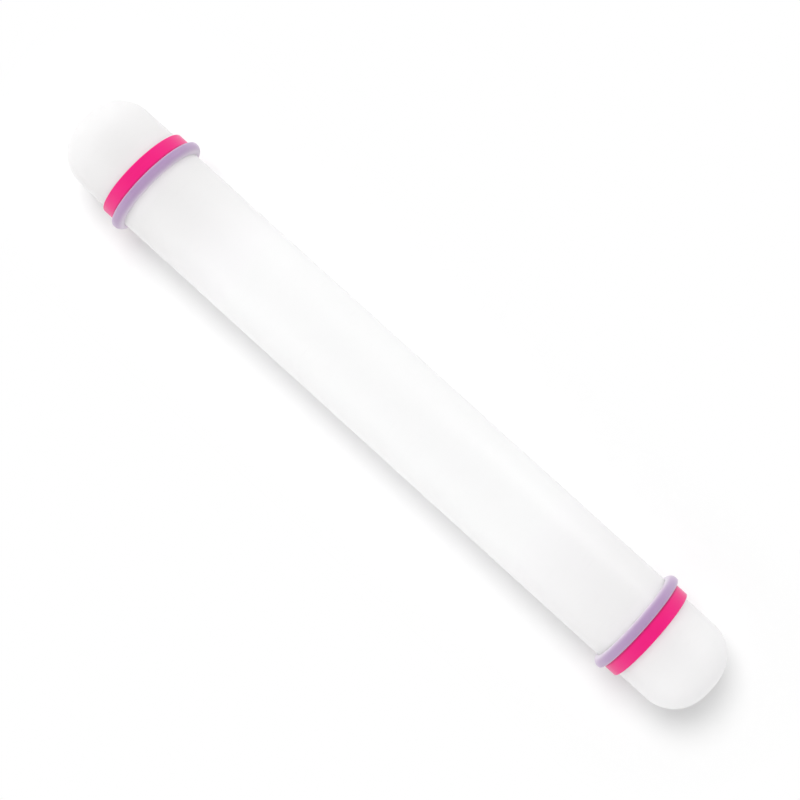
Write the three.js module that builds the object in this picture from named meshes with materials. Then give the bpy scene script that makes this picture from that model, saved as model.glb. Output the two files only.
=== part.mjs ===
// Adjustable rolling pin for sugar paste. One solid bar carries a pair of guide rings near
// each end: a tall one inboard and a low one outboard. The rings run on the board and hold
// the bar at a set height above it, and they slide along the bar and off its ends.
// Millimetres. The bar lies along X, +Z is up, and the tall rings stand on Z = 0.
import * as THREE from "three";

// The bar, one solid rod with domed ends
const barLength = 228.6;
const barDiameter = 27;
const domeCornerRadius = 10.8;

// The tall ring: its height is above the bar, and its shoulder is rounder on the side that
// faces the middle of the bar
const tallRingHeight = 2.4;
const tallRingWidth = 2.9;
const tallShoulderMiddleSide = 1.8;
const tallShoulderEndSide = 0.8;

// The low ring, a flat band
const lowRingHeight = 1.05;
const lowRingWidth = 4.1;
const lowShoulder = 0.35;

// How the rings sit on the bar
const boreClearance = 0.15;
const boreEdgeRadius = 0.25;
const ringGap = 0.1;
const tipToLowRing = 21.1;

// How finely round shapes are cut
const facets = 72;
const domeSteps = 10;
const shoulderSteps = 4;
const edgeSteps = 1;

const barPlastic = new THREE.MeshStandardMaterial({
  color: 0xf3f2ee,
  roughness: 0.42,
  metalness: 0,
});
const lavenderRubber = new THREE.MeshStandardMaterial({
  color: 0xb5a2cf,
  roughness: 0.55,
  metalness: 0,
});
const pinkRubber = new THREE.MeshStandardMaterial({
  color: 0xf52c86,
  roughness: 0.5,
  metalness: 0,
});

// The points of a quarter circle in a profile, where X is the distance from the bar's axis
// and Y the place along it. It starts at a whole number of quarter turns from X towards Y.
function quarterArc(centreX, centreY, radius, startQuarter, steps) {
  return Array.from({ length: steps + 1 }, (_, i) => {
    const angle = (startQuarter + i / steps) * (Math.PI / 2);
    return new THREE.Vector2(
      centreX + radius * Math.cos(angle),
      centreY + radius * Math.sin(angle),
    );
  });
}

// Turns a profile about the bar's axis, with a flat facet at the top and the bottom.
function turned(profile, name, material) {
  const geometry = new THREE.LatheGeometry(profile, facets, Math.PI / facets);
  geometry.rotateZ(-Math.PI / 2);
  const mesh = new THREE.Mesh(geometry, material);
  mesh.name = name;
  return mesh;
}

function makeBar() {
  const half = barLength / 2;
  const flatRadius = barDiameter / 2 - domeCornerRadius;
  const cornerCentre = half - domeCornerRadius;
  const profile = [
    new THREE.Vector2(0, -half),
    ...quarterArc(flatRadius, -cornerCentre, domeCornerRadius, -1, domeSteps),
    ...quarterArc(flatRadius, cornerCentre, domeCornerRadius, 0, domeSteps),
    new THREE.Vector2(0, half),
  ];
  return turned(profile, "roller_bar", barPlastic);
}

// The ring's section, closed on itself. Its middle side is at 0 along the axis, and its
// end side at the ring's width.
function ringProfile(height, width, middleShoulder, endShoulder) {
  const outer = barDiameter / 2 + height;
  const bore = barDiameter / 2 + boreClearance;
  const edge = boreEdgeRadius;
  const section = [
    ...quarterArc(bore + edge, edge, edge, 2, edgeSteps),
    ...quarterArc(outer - middleShoulder, middleShoulder, middleShoulder, -1, shoulderSteps),
    ...quarterArc(outer - endShoulder, width - endShoulder, endShoulder, 0, shoulderSteps),
    ...quarterArc(bore + edge, width - edge, edge, 1, edgeSteps),
  ];
  return [...section, section[0].clone()];
}

// The pair of rings of one end, in a group that faces +X: the low ring is the outer one.
function makeRingPair(side) {
  const lowMiddleSide = barLength / 2 - tipToLowRing - lowRingWidth;
  const tallMiddleSide = lowMiddleSide - ringGap - tallRingWidth;
  const tall = turned(
    ringProfile(tallRingHeight, tallRingWidth, tallShoulderMiddleSide, tallShoulderEndSide),
    `tall_ring_${side}`,
    lavenderRubber,
  );
  tall.position.x = tallMiddleSide;
  const low = turned(
    ringProfile(lowRingHeight, lowRingWidth, lowShoulder, lowShoulder),
    `low_ring_${side}`,
    pinkRubber,
  );
  low.position.x = lowMiddleSide;
  const pair = new THREE.Group();
  pair.add(tall, low);
  return pair;
}

// The tall rings carry the bar, so its axis is at the height of their bottom facet.
const rollingPin = new THREE.Group();
rollingPin.position.z = (barDiameter / 2 + tallRingHeight) * Math.cos(Math.PI / facets);
rollingPin.add(makeBar());

const rightPair = makeRingPair("right");
const leftPair = makeRingPair("left");
leftPair.rotation.z = Math.PI;
rollingPin.add(leftPair, rightPair);

export default rollingPin;
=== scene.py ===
import math

import bmesh
import bpy
from mathutils import Matrix, Vector


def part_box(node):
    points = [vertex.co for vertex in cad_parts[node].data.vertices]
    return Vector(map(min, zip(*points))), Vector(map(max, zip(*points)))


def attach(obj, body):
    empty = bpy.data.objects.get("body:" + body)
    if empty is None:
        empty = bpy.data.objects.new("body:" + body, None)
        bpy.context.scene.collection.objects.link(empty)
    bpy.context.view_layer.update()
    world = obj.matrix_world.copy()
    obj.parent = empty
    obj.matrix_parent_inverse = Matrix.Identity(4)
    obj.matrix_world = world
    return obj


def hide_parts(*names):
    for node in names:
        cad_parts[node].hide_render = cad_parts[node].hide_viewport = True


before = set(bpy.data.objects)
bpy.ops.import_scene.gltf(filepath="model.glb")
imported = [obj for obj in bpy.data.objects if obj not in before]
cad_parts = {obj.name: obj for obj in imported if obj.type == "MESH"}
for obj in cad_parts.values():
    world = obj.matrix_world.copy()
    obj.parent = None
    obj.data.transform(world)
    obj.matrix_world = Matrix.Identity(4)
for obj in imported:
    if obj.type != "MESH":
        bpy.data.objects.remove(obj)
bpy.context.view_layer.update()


# The roller bar: one solid rod of milky white polyethylene. It is turned from extruded rod
# stock, and both ends are rounded to a dome that keeps a small flat at its centre.
mm = 0.001
bar_low, bar_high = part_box("roller_bar")
bar_half_length = (bar_high.x - bar_low.x) / 2
bar_radius = (bar_high.z - bar_low.z) / 2
axis_height = (bar_high.z + bar_low.z) / 2
dome_corner_radius = 10.8 * mm
bar_sides = 288
dome_steps = 28


def quarter_arc(out, along, radius, start_quarter, steps):
    """Points (distance from the axis, place along it) of a quarter circle."""
    angles = [(start_quarter + i / steps) * math.pi / 2 for i in range(steps + 1)]
    return [(out + radius * math.cos(a), along + radius * math.sin(a)) for a in angles]


def turned_piece(name, profile, sides, closed):
    """A mesh object: the profile turned about the bar's axis. Open profiles end on the axis."""
    mesh = bmesh.new()
    rows = []
    for out, along in profile:
        if out == 0:
            rows.append([mesh.verts.new((along, 0, axis_height))] * sides)
            continue
        row = []
        for i in range(sides):
            turn = 2 * math.pi * i / sides
            across = out * math.sin(turn)
            up = out * math.cos(turn)
            row.append(mesh.verts.new((along, across, axis_height + up)))
        rows.append(row)
    pairs = list(zip(rows, rows[1:]))
    if closed:
        pairs.append((rows[-1], rows[0]))
    for near, far in pairs:
        for i in range(sides):
            j = (i + 1) % sides
            corners = dict.fromkeys((near[i], near[j], far[j], far[i]))
            mesh.faces.new(corners).smooth = True
    bmesh.ops.recalc_face_normals(mesh, faces=mesh.faces)
    data = bpy.data.meshes.new(name)
    mesh.to_mesh(data)
    mesh.free()
    piece = bpy.data.objects.new(name, data)
    bpy.context.scene.collection.objects.link(piece)
    return piece


def place(tree, kind, sockets, **settings):
    """A node of that kind. Each socket, by name or number, takes a value or another's output."""
    made = tree.nodes.new(kind)
    for name, value in settings.items():
        setattr(made, name, value)
    for name, value in sockets.items():
        if isinstance(value, bpy.types.NodeSocket):
            tree.links.new(value, made.inputs[name])
        else:
            made.inputs[name].default_value = value
    return made


def maths(tree, operation, *values):
    """The output of a Math node."""
    return place(tree, "ShaderNodeMath", dict(enumerate(values)), operation=operation).outputs[0]


def mixed_colour(tree, factor, first, second):
    """The first colour where the factor is 0, and the second where it is 1."""
    sockets = {"Factor": factor, 6: first, 7: second}
    return place(tree, "ShaderNodeMix", sockets, data_type="RGBA").outputs[2]


def ramp(tree, value, start, end, first=0.0, last=1.0, curve="SMOOTHSTEP"):
    """Goes from first to last while the value goes from start to end, and is level outside."""
    sockets = {"Value": value, "From Min": start, "From Max": end, "To Min": first, "To Max": last}
    return place(tree, "ShaderNodeMapRange", sockets, interpolation_type=curve).outputs["Result"]


def noise(tree, position, scale, detail):
    """Soft random patches from 0 to 1."""
    sockets = {"Vector": position, "Scale": scale, "Detail": detail}
    return place(tree, "ShaderNodeTexNoise", sockets).outputs["Fac"]


def new_group(name, inputs, outputs):
    """A node group whose sockets are numbers, but for a vector called Position. It comes with
    the sockets that its inputs are read from and its outputs are written to."""
    tree = bpy.data.node_groups.new(name, "ShaderNodeTree")
    for label in inputs:
        kind = "NodeSocketVector" if label == "Position" else "NodeSocketFloat"
        tree.interface.new_socket(label, in_out="INPUT", socket_type=kind)
    for label in outputs:
        tree.interface.new_socket(label, in_out="OUTPUT", socket_type="NodeSocketFloat")
    return tree, tree.nodes.new("NodeGroupInput").outputs, tree.nodes.new("NodeGroupOutput").inputs


def use_group(tree, group, sockets):
    """The outputs of a group placed in a material."""
    return place(tree, "ShaderNodeGroup", sockets, node_tree=group).outputs


# Where a point is, measured round the bar: how far along it, how far round on the bar's
# surface, and how far from the axis. All in metres. A piece that sits askew is measured square
# to itself, and its skew is how far it leans along the bar for each metre across it.
round_bar, given, result = new_group(
    "round_bar", ["Position", "Left Skew", "Right Skew"], ["Along", "Around", "Out"]
)
split = place(round_bar, "ShaderNodeSeparateXYZ", {"Vector": given["Position"]}).outputs
raised = maths(round_bar, "SUBTRACT", split["Z"], axis_height)
turn = maths(round_bar, "ARCTAN2", split["Y"], raised)
square = maths(round_bar, "MULTIPLY", raised, raised)
out_squared = maths(round_bar, "MULTIPLY_ADD", split["Y"], split["Y"], square)
on_right = maths(round_bar, "GREATER_THAN", split["X"], 0)
right_extra = maths(round_bar, "SUBTRACT", given["Right Skew"], given["Left Skew"])
skew = maths(round_bar, "MULTIPLY_ADD", on_right, right_extra, given["Left Skew"])
lean = maths(round_bar, "MULTIPLY", skew, split["Y"])
round_bar.links.new(maths(round_bar, "SUBTRACT", split["X"], lean), result["Along"])
round_bar.links.new(maths(round_bar, "MULTIPLY", turn, bar_radius), result["Around"])
round_bar.links.new(maths(round_bar, "SQRT", out_squared), result["Out"])

# The fine orange-peel grain of a moulded or turned plastic, as a height in metres and as a
# slow patchiness from 0 to 1.
fine_grain, given, result = new_group(
    "fine_grain", ["Position", "Grain Scale", "Grain Height", "Patch Scale"], ["Height", "Patches"]
)
peel = noise(fine_grain, given["Position"], given["Grain Scale"], detail=3)
patches = noise(fine_grain, given["Position"], given["Patch Scale"], detail=2)
fine_grain.links.new(maths(fine_grain, "MULTIPLY", peel, given["Grain Height"]), result["Height"])
fine_grain.links.new(patches, result["Patches"])

# Hairline rub marks that run round the bar, as rolling on a board leaves them. Only the
# strongest streaks of the noise show as lines.
line_starts_at = 0.66
line_full_at = 0.76
rub_marks, given, result = new_group(
    "rub_marks", ["Along", "Around", "Line Width", "Line Length", "Depth"], ["Mask", "Height"]
)
across_lines = maths(rub_marks, "DIVIDE", given["Along"], given["Line Width"])
down_lines = maths(rub_marks, "DIVIDE", given["Around"], given["Line Length"])
line_place = place(rub_marks, "ShaderNodeCombineXYZ", {"X": across_lines, "Y": down_lines})
streaks = noise(rub_marks, line_place.outputs[0], scale=1, detail=1)
marks = ramp(rub_marks, streaks, line_starts_at, line_full_at, curve="LINEAR")
rub_marks.links.new(marks, result["Mask"])
rub_marks.links.new(maths(rub_marks, "MULTIPLY", marks, given["Depth"]), result["Height"])


def satin_face(tree, shader, grain, rubs, roughness):
    """Gloss that is duller in the rub marks, with the grain and the marks as real heights."""
    mark_dullness = 0.15
    dulled = maths(tree, "MULTIPLY_ADD", rubs["Mask"], mark_dullness, roughness)
    tree.links.new(dulled, shader.inputs["Roughness"])
    relief = maths(tree, "ADD", grain["Height"], rubs["Height"])
    bump = place(tree, "ShaderNodeBump", {"Height": relief, "Distance": 1.0, "Strength": 1.0})
    tree.links.new(bump.outputs["Normal"], shader.inputs["Normal"])


bar_plastic = bpy.data.materials.new("milky_polyethylene")
bar_plastic.use_nodes = True
tree = bar_plastic.node_tree
shader = tree.nodes["Principled BSDF"]
position = place(tree, "ShaderNodeTexCoord", {}).outputs["Object"]
placed = use_group(tree, round_bar, {"Position": position})
grain_size = 0.45 * mm
cloud_size = 26 * mm
grain = use_group(
    tree,
    fine_grain,
    {
        "Position": position,
        "Grain Scale": 1 / grain_size,
        "Grain Height": 0.009 * mm,
        "Patch Scale": 1 / cloud_size,
    },
)
rubs = use_group(
    tree,
    rub_marks,
    {
        "Along": placed["Along"],
        "Around": placed["Around"],
        "Line Width": 0.22 * mm,
        "Line Length": 9 * mm,
        "Depth": -0.012 * mm,
    },
)
cloudy_white = (0.94, 0.933, 0.943, 1)
clear_white = (0.965, 0.957, 0.968, 1)
cloud = mixed_colour(tree, grain["Patches"], cloudy_white, clear_white)

# Painted shade: the bar's colour is greyed towards both ends, for the shade that the rings leave
# in the milky rod. The grey starts further in on the right, and is stronger on the left, to even
# out the lamp that lights the left end more. It is weaker on the domes, and under the rings where
# they are at rest.
painted_shade_grey = (0.803, 0.797, 0.795, 1)
grey_from = 42 * mm
grey_full_from = 92 * mm
grey_waver = 14 * mm
right_lead = 0.03
grey_at_middle = 0.8
left_gain_per_metre = 1.5
dome_fade_from = 95 * mm
dome_fade_to = 110 * mm
dome_grey_share = 0.8
# Painted light: in a band round the rings' rest place the grey is weaker, to lighten the shade at
# the rings' foot.
rings_middle = (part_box("tall_ring_right")[0].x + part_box("low_ring_right")[1].x) / 2
ring_band_from = 2.5 * mm
ring_band_to = 8 * mm
ring_grey_share = 0.7
from_middle = maths(tree, "ABSOLUTE", placed["Along"])
wavering = maths(tree, "MULTIPLY_ADD", grain["Patches"], grey_waver, from_middle)
leading = maths(tree, "MULTIPLY_ADD", placed["Along"], right_lead, wavering)
near_end = ramp(tree, leading, grey_from, grey_full_from)
on_dome = ramp(tree, from_middle, dome_fade_from, dome_fade_to, first=1.0, last=dome_grey_share)
left_more = maths(tree, "MULTIPLY_ADD", placed["Along"], -left_gain_per_metre, grey_at_middle)
from_rings = maths(tree, "ABSOLUTE", maths(tree, "SUBTRACT", from_middle, rings_middle))
by_rings = ramp(tree, from_rings, ring_band_from, ring_band_to, first=ring_grey_share)
painted_shade = maths(tree, "MULTIPLY", maths(tree, "MULTIPLY", near_end, on_dome), left_more)
painted_shade = maths(tree, "MULTIPLY", painted_shade, by_rings)
with_painted_shade = mixed_colour(tree, painted_shade, cloud, painted_shade_grey)
mark_darkness = 0.03
shade = maths(tree, "MULTIPLY_ADD", rubs["Mask"], -mark_darkness, 1.0)
lined = place(tree, "ShaderNodeVectorMath", {0: with_painted_shade, "Scale": shade}, operation="SCALE")
tree.links.new(lined.outputs[0], shader.inputs["Base Color"])

bar_roughness = 0.28
patch_dullness = 0.05
patchy = maths(tree, "MULTIPLY_ADD", grain["Patches"], patch_dullness, bar_roughness)
satin_face(tree, shader, grain, rubs, patchy)
shader.inputs["IOR"].default_value = 1.51
shader.inputs["Subsurface Weight"].default_value = 1.0
shader.inputs["Subsurface Radius"].default_value = (1.0, 1.0, 1.0)
shader.inputs["Subsurface Scale"].default_value = 7 * mm

dome_flat_radius = bar_radius - dome_corner_radius
dome_centre = bar_half_length - dome_corner_radius
bar_profile = [
    (0, -bar_half_length),
    *quarter_arc(dome_flat_radius, -dome_centre, dome_corner_radius, -1, dome_steps),
    *quarter_arc(dome_flat_radius, dome_centre, dome_corner_radius, 0, dome_steps),
    (0, bar_half_length),
]
bar = turned_piece("turned_bar", bar_profile, bar_sides, closed=False)
bar.data.materials.append(bar_plastic)
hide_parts("roller_bar")
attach(bar, "roller")


# The tall guide rings: moulded bands of soft lavender rubber, one near each end. Each is
# stretched over the bar, with its rounder shoulder towards the middle, and grips it there.
# Both rings of the left end sit a little askew, and those of the right end almost square.
bore_clearance = 0.02 * mm
ring_bore_radius = bar_radius + bore_clearance
bore_edge_radius = 0.08 * mm
tall_shoulder_middle_side = 1.8 * mm
tall_shoulder_end_side = 0.8 * mm
left_skew = 0.05
right_skew = -0.01
ring_sides = 288
shoulder_steps = 10
bore_edge_steps = 5


def ring_profile(outer_radius, width, middle_shoulder, end_shoulder):
    """The section of a ring whose middle side is at 0 along the bar."""
    edge = bore_edge_radius
    bore = ring_bore_radius + edge
    middle_out = outer_radius - middle_shoulder
    end_out = outer_radius - end_shoulder
    return [
        *quarter_arc(bore, edge, edge, 2, bore_edge_steps),
        *quarter_arc(middle_out, middle_shoulder, middle_shoulder, -1, shoulder_steps),
        *quarter_arc(end_out, width - end_shoulder, end_shoulder, 0, shoulder_steps),
        *quarter_arc(bore, width - edge, edge, 1, bore_edge_steps),
    ]


def ring_on_bar(name, node, middle_shoulder, end_shoulder, material):
    """A guide ring that stands for a CAD ring, in its place and of its size."""
    low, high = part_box(node)
    width = high.x - low.x
    outer_radius = (high.z - low.z) / 2
    section = ring_profile(outer_radius, width, middle_shoulder, end_shoulder)
    if low.x > 0:
        profile = [(out, low.x + along) for out, along in section]
        skew = right_skew
    else:
        profile = [(out, high.x - along) for out, along in section]
        skew = left_skew
    ring = turned_piece(name, profile, ring_sides, closed=True)
    for vertex in ring.data.vertices:
        vertex.co.x += skew * vertex.co.y
    ring.data.materials.append(material)
    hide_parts(node)
    return ring


def soft_rubber(
    name, colour, deep_colour, painted_edge_colour, edge_measure, edge, roughness, sheen, glow_colour
):
    """The finish of a moulded ring: satin, faintly see-through, with a matt moulded grain.
    The painted edge colour lightens or darkens the edge as light and shade would. It comes in
    between two places along the bar, or two distances from its axis.
    The glow's colour is that of the light that a lamp sends through the rubber."""
    material = bpy.data.materials.new(name)
    material.use_nodes = True
    tree = material.node_tree
    shader = tree.nodes["Principled BSDF"]
    position = place(tree, "ShaderNodeTexCoord", {}).outputs["Object"]
    placed = use_group(
        tree,
        round_bar,
        {"Position": position, "Left Skew": left_skew, "Right Skew": right_skew},
    )
    grain_size = 0.3 * mm
    patch_size = 6 * mm
    grain = use_group(
        tree,
        fine_grain,
        {
            "Position": position,
            "Grain Scale": 1 / grain_size,
            "Grain Height": 0.01 * mm,
            "Patch Scale": 1 / patch_size,
        },
    )
    rubs = use_group(
        tree,
        rub_marks,
        {
            "Along": placed["Along"],
            "Around": placed["Around"],
            "Line Width": 0.18 * mm,
            "Line Length": 5 * mm,
            "Depth": -0.01 * mm,
        },
    )
    face = mixed_colour(tree, grain["Patches"], deep_colour, colour)
    at_edge = ramp(tree, maths(tree, "ABSOLUTE", placed[edge_measure]), edge[0], edge[1])
    shown = mixed_colour(tree, at_edge, face, painted_edge_colour)
    tree.links.new(shown, shader.inputs["Base Color"])
    satin_face(tree, shader, grain, rubs, roughness)
    shader.inputs["Subsurface Weight"].default_value = 0.55
    shader.inputs["Subsurface Radius"].default_value = (1.0, 0.7, 0.9)
    shader.inputs["Subsurface Scale"].default_value = 0.8 * mm
    shader.inputs["Specular IOR Level"].default_value = 0.25
    shader.inputs["Sheen Weight"].default_value = sheen
    shader.inputs["Sheen Roughness"].default_value = 0.5
    body = shader.outputs[0]

    # Light goes through rubber this thin. So what it sheds on the bar and the board is pale,
    # and most of a lamp's light goes on through each face of it.
    shed_white = (0.95, 0.94, 0.95, 1)
    shed_white_share = 0.75
    glow_share = 0.7
    let_through = mixed_colour(tree, shed_white_share, shown, shed_white)
    shed = place(tree, "ShaderNodeBsdfDiffuse", {"Color": let_through}).outputs[0]
    glow = place(tree, "ShaderNodeBsdfTransparent", {"Color": glow_colour}).outputs[0]
    thin = place(tree, "ShaderNodeMixShader", {0: glow_share, 1: body, 2: glow}).outputs[0]
    path = place(tree, "ShaderNodeLightPath", {}).outputs
    by_bounce = {0: path["Is Diffuse Ray"], 1: body, 2: shed}
    seen = place(tree, "ShaderNodeMixShader", by_bounce).outputs[0]
    by_shadow = {0: path["Is Shadow Ray"], 1: seen, 2: thin}
    lit = place(tree, "ShaderNodeMixShader", by_shadow).outputs[0]
    tree.links.new(lit, tree.nodes["Material Output"].inputs["Surface"])
    return material


# Painted light: the lavender is paler down its shoulders, towards the bar, as if lit there. It
# starts at the first distance from the axis and is full at the second.
painted_highlight_from = 15.75 * mm
painted_highlight_full_at = 14.5 * mm
lavender_rubber = soft_rubber(
    "soft_lavender_rubber",
    colour=(0.475, 0.335, 0.54, 1),
    deep_colour=(0.43, 0.295, 0.49, 1),
    painted_edge_colour=(0.64, 0.54, 0.68, 1),
    edge_measure="Out",
    edge=(painted_highlight_from, painted_highlight_full_at),
    roughness=0.5,
    sheen=0.5,
    glow_colour=(0.93, 0.88, 0.95, 1),
)
for side in ("left", "right"):
    tall_ring = ring_on_bar(
        f"lavender_ring_{side}",
        f"tall_ring_{side}",
        tall_shoulder_middle_side,
        tall_shoulder_end_side,
        lavender_rubber,
    )
    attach(tall_ring, f"tall_{side}")


# The low guide rings: flat moulded bands of pink rubber, each against the outer side of a
# tall ring. Their edges are only just broken, and a painted shade darkens the pink at the
# crease between the two rings.
low_shoulder = 0.35 * mm
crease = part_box("low_ring_right")[0].x
# Painted shade: the pink darkens from the first of these places to the second, at the crease.
crease_shade_from = crease + 0.7 * mm
crease_shade_full_at = crease + 0.2 * mm
pink_rubber = soft_rubber(
    "soft_pink_rubber",
    colour=(0.87, 0.006, 0.235, 1),
    deep_colour=(0.82, 0.005, 0.21, 1),
    painted_edge_colour=(0.6, 0.005, 0.15, 1),
    edge_measure="Along",
    edge=(crease_shade_from, crease_shade_full_at),
    roughness=0.42,
    sheen=0.2,
    glow_colour=(1.0, 0.5, 0.72, 1),
)
for side in ("left", "right"):
    low_ring = ring_on_bar(
        f"pink_ring_{side}", f"low_ring_{side}", low_shoulder, low_shoulder, pink_rubber
    )
    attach(low_ring, f"low_{side}")


# The board under the roller: a plain white floor. Close to the roller it is lit and takes its
# shadow, and further out it fades to the white of the background. It isn't seen from below.
floor_reach = 3.0
lit_board = (0.985, 0.985, 0.985, 1)
bounced_board = (0.96, 0.96, 0.96, 1)
fade_from = 20 * mm
fade_to = 45 * mm
floor_mesh = bmesh.new()
bmesh.ops.create_grid(floor_mesh, x_segments=8, y_segments=8, size=floor_reach)
floor_data = bpy.data.meshes.new("white_floor")
floor_mesh.to_mesh(floor_data)
floor_mesh.free()
floor = bpy.data.objects.new("white_floor", floor_data)
bpy.context.scene.collection.objects.link(floor)


def looked_at(tree):
    """1 for a ray from the camera, or one sent on by gloss or a clear piece, and 0 for others."""
    path = place(tree, "ShaderNodeLightPath", {}).outputs
    mirrored = maths(tree, "MAXIMUM", path["Is Glossy Ray"], path["Is Transmission Ray"])
    return maths(tree, "MAXIMUM", path["Is Camera Ray"], mirrored)


floor_white = bpy.data.materials.new("floor_white")
floor_white.use_nodes = True
tree = floor_white.node_tree
tree.nodes.clear()
position = place(tree, "ShaderNodeTexCoord", {}).outputs["Object"]
split = place(tree, "ShaderNodeSeparateXYZ", {"Vector": position}).outputs
from_middle = maths(tree, "ABSOLUTE", split["X"])
past_end = maths(tree, "SUBTRACT", from_middle, bar_half_length - bar_radius)
off_end = maths(tree, "MAXIMUM", past_end, 0)
beside = place(tree, "ShaderNodeCombineXYZ", {"X": off_end, "Y": split["Y"]}).outputs[0]
distance = place(tree, "ShaderNodeVectorMath", {0: beside}, operation="LENGTH").outputs["Value"]
fade = ramp(tree, distance, fade_from, fade_to)
near = place(tree, "ShaderNodeBsdfDiffuse", {"Color": lit_board}).outputs[0]
far = place(tree, "ShaderNodeEmission", {"Color": (1, 1, 1, 1)}).outputs[0]
seen = place(tree, "ShaderNodeMixShader", {0: fade, 1: near, 2: far}).outputs[0]
bounced = place(tree, "ShaderNodeBsdfDiffuse", {"Color": bounced_board}).outputs[0]
by_look = {0: looked_at(tree), 1: bounced, 2: seen}
upper = place(tree, "ShaderNodeMixShader", by_look).outputs[0]
clear = place(tree, "ShaderNodeBsdfTransparent", {}).outputs[0]
below = place(tree, "ShaderNodeNewGeometry", {}).outputs["Backfacing"]
either = place(tree, "ShaderNodeMixShader", {0: below, 1: upper, 2: clear}).outputs[0]
place(tree, "ShaderNodeOutputMaterial", {"Surface": either})
floor.data.materials.append(floor_white)


# The light: a white room, brighter low down and at the front, and one large soft lamp high over
# the left end, which throws the faint shadow along the front of the bar and past its right end.
# Two soft windows are seen only in gloss, and draw the long streaks on the bar.
ceiling_light = 0.48
wall_light = 0.82
front_light = 1.15
front_heading = (0.4, -0.92, 0)
fade_with_height = 3
room = bpy.data.worlds.new("white_room")
room.use_nodes = True
bpy.context.scene.world = room
tree = room.node_tree
direction = place(tree, "ShaderNodeTexCoord", {}).outputs["Generated"]
height = place(tree, "ShaderNodeSeparateXYZ", {"Vector": direction}).outputs["Z"]
lowness = maths(tree, "SUBTRACT", 1, maths(tree, "MAXIMUM", height, 0))
to_front = {0: direction, 1: front_heading}
facing = place(tree, "ShaderNodeVectorMath", to_front, operation="DOT_PRODUCT").outputs["Value"]
front = maths(tree, "MAXIMUM", facing, 0)
wall = maths(tree, "MULTIPLY_ADD", front, front_light, wall_light)
walls = maths(tree, "MULTIPLY", maths(tree, "POWER", lowness, fade_with_height), wall)
room_light = maths(tree, "ADD", walls, ceiling_light)


def soft_window(tree, direction, centre, spread, brightness):
    """How much brighter than white the gloss of a window is. It is full within the core, and
    gone at the edge, both as a share of the window's spread round its centre."""
    core = 0.3
    edge = 1.0
    apart = place(tree, "ShaderNodeVectorMath", {0: direction, 1: centre}, operation="SUBTRACT")
    scaled = {0: apart.outputs[0], 1: spread}
    shares = place(tree, "ShaderNodeVectorMath", scaled, operation="DIVIDE")
    share = place(tree, "ShaderNodeVectorMath", {0: shares.outputs[0]}, operation="LENGTH")
    return ramp(tree, share.outputs["Value"], edge, core, last=brightness)


front_window = soft_window(
    tree, direction, centre=(-0.15, -0.75, 0.64), spread=(0.07, 0.26, 0.3), brightness=2.2
)
back_window = soft_window(
    tree, direction, centre=(0.085, 0.91, 0.41), spread=(0.06, 0.26, 0.48), brightness=3.2
)
windows = maths(tree, "ADD", front_window, back_window)
in_gloss = place(tree, "ShaderNodeLightPath", {}).outputs["Is Glossy Ray"]
shine = maths(tree, "MULTIPLY_ADD", windows, in_gloss, 1.0)
by_look = {"Factor": looked_at(tree), "A": room_light, "B": shine}
strength = place(tree, "ShaderNodeMix", by_look).outputs["Result"]
background = tree.nodes["Background"]
background.inputs["Color"].default_value = (1, 1, 1, 1)
tree.links.new(strength, background.inputs["Strength"])

lamp_distance = 2.4
lamp_size = 1.2
lamp_elevation = math.radians(66)
lamp_heading = Vector((-0.87, 0.49, 0)).normalized()
lamp_share = 0.45
lamp_data = bpy.data.lights.new("soft_lamp", "AREA")
lamp_data.shape = "DISK"
lamp_data.size = lamp_size
lamp_data.energy = lamp_share * math.pi**2 * lamp_distance**2 / math.sin(lamp_elevation)
lamp = bpy.data.objects.new("soft_lamp", lamp_data)
bpy.context.scene.collection.objects.link(lamp)
lamp_direction = lamp_heading * math.cos(lamp_elevation) + Vector((0, 0, math.sin(lamp_elevation)))
lamp.location = lamp_direction * lamp_distance
lamp.rotation_euler = lamp_direction.to_track_quat("Z", "Y").to_euler()
lamp.visible_camera = False
lamp.visible_glossy = False


# The camera: high over the roller and a little to its back and right, turned so that the
# bar runs from the upper left to the lower right.
picture_side = 800
pixels_per_mm = 3.693
bar_turn_in_picture = math.radians(-42.22)
bar_middle_in_picture = Vector((394.2, 401.8))
bar_middle = Vector((0, 0, axis_height))
camera_place = bar_middle + Vector((26.5, 20, 520)) * mm

camera_data = bpy.data.cameras.new("camera")
camera = bpy.data.objects.new("camera", camera_data)
bpy.context.scene.collection.objects.link(camera)
bpy.context.scene.camera = camera
back = (camera_place - bar_middle).normalized()
reach = (camera_place - bar_middle).length
bar_seen = Vector((1, 0, 0))
bar_seen = (bar_seen - back * bar_seen.dot(back)).normalized()
right = Matrix.Rotation(-bar_turn_in_picture, 3, back) @ bar_seen
up = back.cross(right)
focal_pixels = pixels_per_mm / mm * reach
off_centre = bar_middle_in_picture - Vector((picture_side / 2, picture_side / 2))
tilt = Matrix.Rotation(math.atan(off_centre.y / focal_pixels), 3, right)
pan = Matrix.Rotation(math.atan(off_centre.x / focal_pixels), 3, up)
turned = Matrix((right, up, back)).transposed()
camera.matrix_world = Matrix.Translation(camera_place) @ (pan @ tilt @ turned).to_4x4()
camera_data.sensor_width = 36
camera_data.lens = focal_pixels * camera_data.sensor_width / picture_side
camera_data.clip_start = 0.01
camera_data.clip_end = 20

bpy.context.scene.view_settings.view_transform = "Standard"
